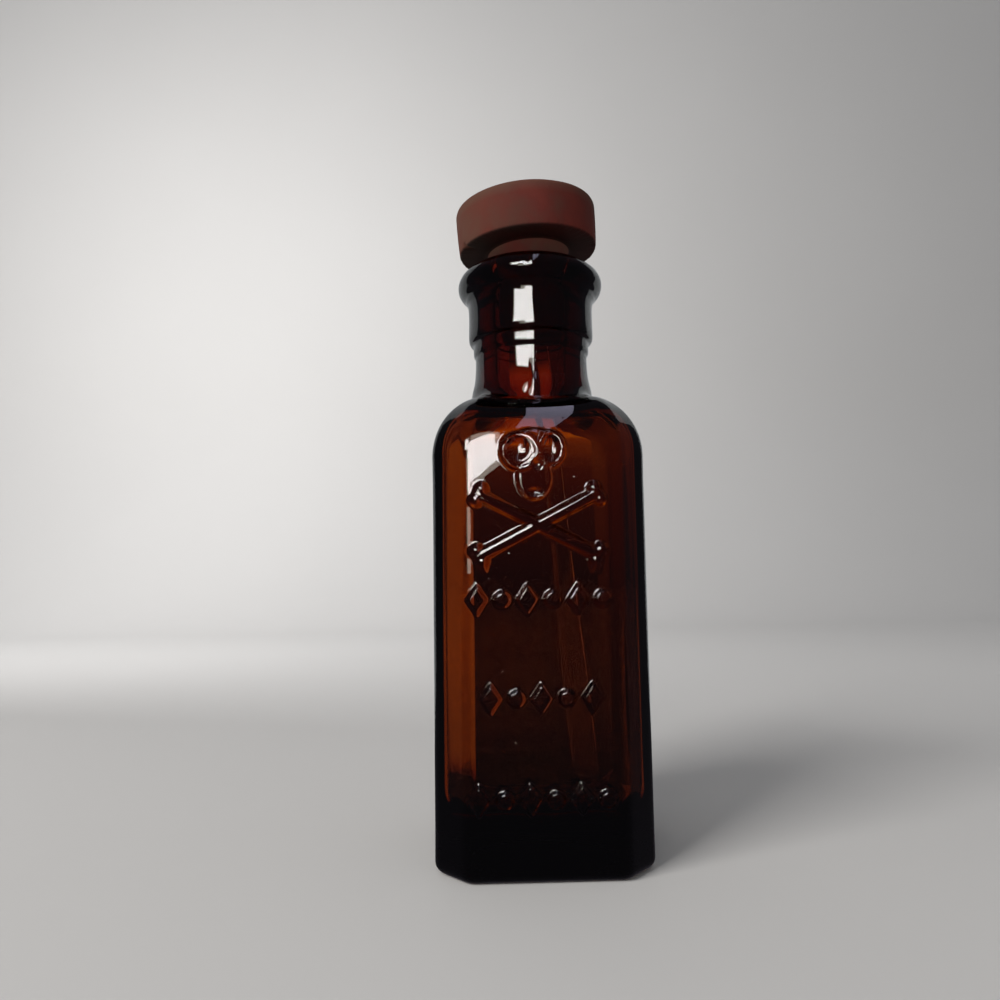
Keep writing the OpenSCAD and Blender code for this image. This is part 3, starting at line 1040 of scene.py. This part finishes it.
def red_rubber():
    """Aged red rubber: matt and blotchy, paler along the top edge, with painted shade on the underside of
    the head and painted light on the grip below it.
    """
    material, tree, output = new_material("red_rubber")
    place = add_node(tree, "ShaderNodeTexCoord").outputs["Object"]
    blotches = noise(tree, place, scale=240, detail=4)
    grain = noise(tree, place, scale=5200, detail=3)
    height = height_share(tree, place)
    paleness = pale_share(tree, place, blotches, height)
    worn = add_node(tree, "ShaderNodeMix", {
        "Factor": paleness, 6: ramp(tree, blotches, RUBBER_STOPS), 7: (*PALE_BROWN, 1),
    }, data_type="RGBA")
    # Multiplies in the painted light below the head and the painted shade on its underside.
    colour = add_node(tree, "ShaderNodeMix", {
        "Factor": 1.0, 6: worn.outputs[2], 7: ramp(tree, height, PAINTED_LIGHT_AND_SHADE_STOPS),
    }, data_type="RGBA", blend_type="MULTIPLY")
    rough = add_node(tree, "ShaderNodeMapRange", {"Value": blotches, "To Min": 0.6, "To Max": 0.85})
    bump = add_node(tree, "ShaderNodeBump", {"Height": grain, "Strength": 0.35, "Distance": 0.06 * MM})
    shader = add_node(tree, "ShaderNodeBsdfPrincipled", {
        "Base Color": colour.outputs[2], "Roughness": rough.outputs["Result"],
        "Normal": bump.outputs["Normal"], "IOR": 1.5, "Specular IOR Level": 0.06,
    })
    tree.links.new(shader.outputs["BSDF"], output.inputs["Surface"])
    return material


# %% Dress the three pieces
for piece, material, body, node, slot in (
    (bottle, amber_glass(), "bottle", "bottle", "amber_glass"),
    (rod, rod_glass(), "stopper", "applicator_rod", "rod_glass"),
    (stopper, red_rubber(), "stopper", "stopper", "red_rubber"),
):
    piece.data.materials.append(material)
    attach(piece, body)
    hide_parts(node)
    print(piece.name, "rides on", body)

# %% [markdown]
# ## Floor, backdrop and light
# Dark glass is lit by what it mirrors and by what shines through it. A photographer of bottles therefore
# sets a pale wall far behind, keeps the room in front dark, and lets one window give the highlights. Cards
# that only one kind of ray can see make this easy to steer in Blender.

# %% Helpers for the stage
GRAIN_SHADE = 0.97


def flat_card(name, corners, material):
    """One flat face from its corners, in millimetres."""
    mesh = bpy.data.meshes.new(name)
    mesh.from_pydata([[v * MM for v in c] for c in corners], [], [list(range(len(corners)))])
    card = bpy.data.objects.new(name, mesh)
    bpy.context.scene.collection.objects.link(card)
    card.data.materials.append(material)
    return card


def seen_only_by(card, *kinds):
    """Leaves a card visible to the named kinds of ray alone."""
    for kind in ("camera", "diffuse", "glossy", "transmission", "volume_scatter", "shadow"):
        setattr(card, "visible_" + kind, kind in kinds)


def glowing(name, colour, strength):
    """Plain emission."""
    material, tree, output = new_material(name)
    glow = add_node(tree, "ShaderNodeEmission", {"Color": (*colour, 1), "Strength": strength})
    tree.links.new(glow.outputs["Emission"], output.inputs["Surface"])
    return material


def painted_board(name, colour):
    """Matt painted board with a faint grain."""
    material, tree, output = new_material(name)
    place = add_node(tree, "ShaderNodeTexCoord").outputs["Object"]
    grain = noise(tree, place, scale=6, detail=2)
    tint = ramp(tree, grain, [(0.3, tuple(c * GRAIN_SHADE for c in colour)), (0.7, colour)])
    shader = add_node(tree, "ShaderNodeBsdfPrincipled", {"Base Color": tint, "Roughness": 0.9})
    tree.links.new(shader.outputs["BSDF"], output.inputs["Surface"])
    return material


# %% Floor and sweep
WALL_Y = 450
SWEEP_R = 160
FLOOR_REACH = 900
WALL_TOP = 700
SWEEP_STEPS_UP = 24
BOARD_PAINT = (0.62, 0.61, 0.6)


def sweep_floor():
    """Floor that runs up into a wall far behind the bottle."""
    line = [(-FLOOR_REACH, 0), (WALL_Y - SWEEP_R, 0)]
    line += [(WALL_Y - SWEEP_R + SWEEP_R * math.sin(t), SWEEP_R * (1 - math.cos(t)))
             for t in np.linspace(0, math.pi / 2, SWEEP_STEPS_UP + 1)[1:]]
    line.append((WALL_Y, WALL_TOP))
    points = [(side * FLOOR_REACH * MM, y * MM, z * MM) for y, z in line for side in (-1, 1)]
    faces = [[2 * i, 2 * i + 1, 2 * i + 3, 2 * i + 2] for i in range(len(line) - 1)]
    mesh = bpy.data.meshes.new("floor")
    mesh.from_pydata(points, [], faces)
    mesh.shade_smooth()
    floor = bpy.data.objects.new("floor", mesh)
    bpy.context.scene.collection.objects.link(floor)
    floor.data.materials.append(painted_board("floor_board", BOARD_PAINT))
    floor.visible_glossy = False
    return floor


sweep_floor()
print("the wall stands", WALL_Y, "mm behind the bottle's axis")

# %% [markdown]
# ## The window and its curtain
# The window stands 40 cm in front of the bottle, and only mirrored rays see it. The flat front mirrors its
# lower part as a bright patch beside the skull, and the neck and the lip squeeze its upper part into a thin
# upright highlight. A dimmer curtain lies just behind it and stands out a little on all sides, so each
# patch has a grey border, as daylight round a window frame has. Both outlines are plain corners, placed by
# looking at renders.

# %% Window
WINDOW_Y = -400
WINDOW_GLOW = 18.0
WINDOW_OUTLINE = [
    (-90, 78), (-19, 80), (-14.4, 84), (-4, 91), (3, 97), (8, 106), (10, 120), (7, 150), (4, 200), (4, 260),
    (6, 300), (6, 345), (2, 350), (-3, 330), (-8, 285), (-13, 228), (-60, 222), (-80, 280), (-250, 280),
    (-250, 150), (-90, 150),
]
window = flat_card("window", [(x, WINDOW_Y, z) for x, z in WINDOW_OUTLINE],
                   glowing("window_light", (1.0, 0.97, 0.95), WINDOW_GLOW))
seen_only_by(window, "glossy")
print("the window has", len(WINDOW_OUTLINE), "corners")

# %% Curtain
CURTAIN_BEHIND = 5
CURTAIN_GLOW = 4.4
CURTAIN_TINT = (1.0, 4.1 / CURTAIN_GLOW, 3.5 / CURTAIN_GLOW)
CURTAIN_OUTLINE = [
    (-160, 28), (-24, 28), (-17, 75), (-13.5, 82), (-3, 88), (4, 94), (10, 104), (13, 120), (10, 150),
    (7, 200), (7, 260), (9, 300), (9, 390), (2, 400), (-8, 370), (-14, 320), (-22, 262), (-60, 245),
    (-75, 300), (-275, 300), (-275, 150), (-160, 150),
]
curtain = flat_card("curtain", [(x, WINDOW_Y - CURTAIN_BEHIND, z) for x, z in CURTAIN_OUTLINE],
                    glowing("curtain_light", CURTAIN_TINT, CURTAIN_GLOW))
seen_only_by(curtain, "glossy")
print("the curtain has", len(CURTAIN_OUTLINE), "corners")

# %% [markdown]
# ## Overhead light and pale rims
# Two more cards only show in reflections. A bluish strip overhead lies on the round shoulder as a soft
# patch. A wide dim card behind the bottle is mirrored at grazing angles only, where glass mirrors most of
# the light that reaches it, and so it draws the pale rims down both sides of the dark neck.

# %% Overhead strip and rim card
STRIP_X = (22, 50)
STRIP_Y = (-480, 60)
STRIP_Z = 420
STRIP_GLOW = 2.2
RIM_X = (-560, 560)
RIM_Y = 300
RIM_Z = (-60, 560)
RIM_GLOW = 0.5


def oblong(across, along):
    """Corners of an oblong from its two ranges."""
    return [(across[0], along[0]), (across[1], along[0]), (across[1], along[1]), (across[0], along[1])]


strip = flat_card("overhead_strip", [(x, y, STRIP_Z) for x, y in oblong(STRIP_X, STRIP_Y)],
                  glowing("overhead_light", (0.78, 0.74, 1.0), STRIP_GLOW))
seen_only_by(strip, "glossy")
rim = flat_card("rim_card", [(x, RIM_Y, z) for x, z in oblong(RIM_X, RIM_Z)],
                glowing("rim_light", (0.95, 0.98, 1.0), RIM_GLOW))
seen_only_by(rim, "glossy")
print("the strip is", STRIP_X[1] - STRIP_X[0], "mm wide and the rim card", RIM_X[1] - RIM_X[0])

# %% [markdown]
# ## Shade behind the bottle
# Through its glass a bottle shows whatever lies right behind it, and that is mostly its own shade: black at
# the base, brighter towards the shoulder. Two cards close behind the glass give that dim light. Only rays
# that have passed through glass see them, so they neither show beside the bottle nor darken the floor.

# %% Cards behind the bottle
BEHIND_GAP = 0.4
BEHIND_Y = BODY_D / 2 + BEHIND_GAP
BEHIND_OUTLINE = [(-8.6, 0), (9.6, 0), (9.6, 51), (5.5, 55), (5.5, 70), (-5.5, 70), (-5.5, 55), (-8.6, 51)]
BESIDE_OUTLINE = [(9.6, 0), (60, 0), (60, 72), (5.5, 72), (5.5, 55), (9.6, 51)]
BEHIND_STOPS = [
    (0.0, (0, 0, 0)), (0.1, (0, 0, 0)), (0.2, (0.007, 0.004, 0.003)), (0.3, (0.018, 0.01, 0.006)),
    (0.45, (0.028, 0.015, 0.008)), (0.6, (0.08, 0.042, 0.016)), (0.68, (0.18, 0.1, 0.04)),
    (0.74, (0.6, 0.5, 0.2)), (0.79, (2.2, 3.6, 1.4)), (0.85, (0.5, 0.6, 0.25)), (0.92, (0.03, 0.02, 0.02)),
]
BESIDE_STOPS = [
    (0.0, (0, 0, 0)), (0.15, (0.006, 0.003, 0.003)), (0.35, (0.035, 0.018, 0.015)),
    (0.6, (0.15, 0.09, 0.07)), (0.75, (0.26, 0.2, 0.18)), (1.0, (0.2, 0.18, 0.18)),
]


def shade_behind(name, stops):
    """Dim light whose colour changes with the height, given as a share of the glass."""
    material, tree, output = new_material(name)
    place = add_node(tree, "ShaderNodeTexCoord").outputs["Object"]
    height = add_node(tree, "ShaderNodeSeparateXYZ", {"Vector": place}).outputs["Z"]
    share = add_node(tree, "ShaderNodeMath", {0: height, 1: 1 / (GLASS_H * MM)}, operation="MULTIPLY")
    level = ramp(tree, share.outputs["Value"], stops)
    glow = add_node(tree, "ShaderNodeEmission", {"Color": level, "Strength": 1.0})
    tree.links.new(glow.outputs["Emission"], output.inputs["Surface"])
    return material


for where, outline, stops in (
    ("behind", BEHIND_OUTLINE, BEHIND_STOPS),
    ("beside", BESIDE_OUTLINE, BESIDE_STOPS),
):
    card = flat_card(where + "_card", [(x, BEHIND_Y, z) for x, z in outline],
                     shade_behind("shade_" + where, stops))
    seen_only_by(card, "transmission")
print("the cards stand", BEHIND_GAP, "mm behind the glass")

# %% [markdown]
# ## The room and two lamps
# The room is pale for the floor and the wall, and nearly dark for rays that were mirrored or bent by the
# glass, so the glass stays deep. The key lamp stands high at the left and gives the soft shadow at the
# right. The wash faces the wall and starts behind the bottle, so it brightens the backdrop without lighting
# the floor in front.

# %% World
SKY = (0.80, 0.82, 0.86)
SKY_GLOW = 0.33
ROOM_GLOW = (0.05, 0.045, 0.055)
world = bpy.data.worlds.new("studio")
bpy.context.scene.world = world
world.use_nodes = True
sky_tree = world.node_tree
sky_tree.nodes.clear()
sky = add_node(sky_tree, "ShaderNodeBackground", {"Color": (*SKY, 1), "Strength": SKY_GLOW})
room = add_node(sky_tree, "ShaderNodeBackground", {"Color": (*ROOM_GLOW, 1), "Strength": 1.0})
path = add_node(sky_tree, "ShaderNodeLightPath").outputs
off_glass = add_node(sky_tree, "ShaderNodeMath", {0: path["Is Glossy Ray"], 1: path["Is Transmission Ray"]},
                     operation="MAXIMUM")
mixed = add_node(sky_tree, "ShaderNodeMixShader", {
    "Fac": off_glass.outputs["Value"], 1: sky.outputs["Background"], 2: room.outputs["Background"],
})
add_node(sky_tree, "ShaderNodeOutputWorld", {"Surface": mixed.outputs["Shader"]})
print("the sky glows at", SKY_GLOW)


# %% Key lamp and wash
def soft_light(name, place, aim, size, power, colour):
    """Area light that faces the aim and leaves no reflection."""
    light = bpy.data.lights.new(name, "AREA")
    light.shape = "SQUARE"
    light.size = size * MM
    light.energy = power
    light.color = colour
    lamp = bpy.data.objects.new(name, light)
    lamp.location = Vector(place) * MM
    lamp.rotation_euler = (Vector(aim) * MM - lamp.location).to_track_quat("-Z", "Y").to_euler()
    lamp.visible_glossy = False
    lamp.visible_transmission = False
    bpy.context.scene.collection.objects.link(lamp)


soft_light("key", place=(-380, -300, 420), aim=(0, 0, 40), size=260, power=2.9, colour=(1.0, 0.98, 0.95))
soft_light("wash", place=(-200, 110, 230), aim=(-110, WALL_Y, 230), size=200, power=0.85, colour=(1, 1, 1))
print("stage and lamps are in place")
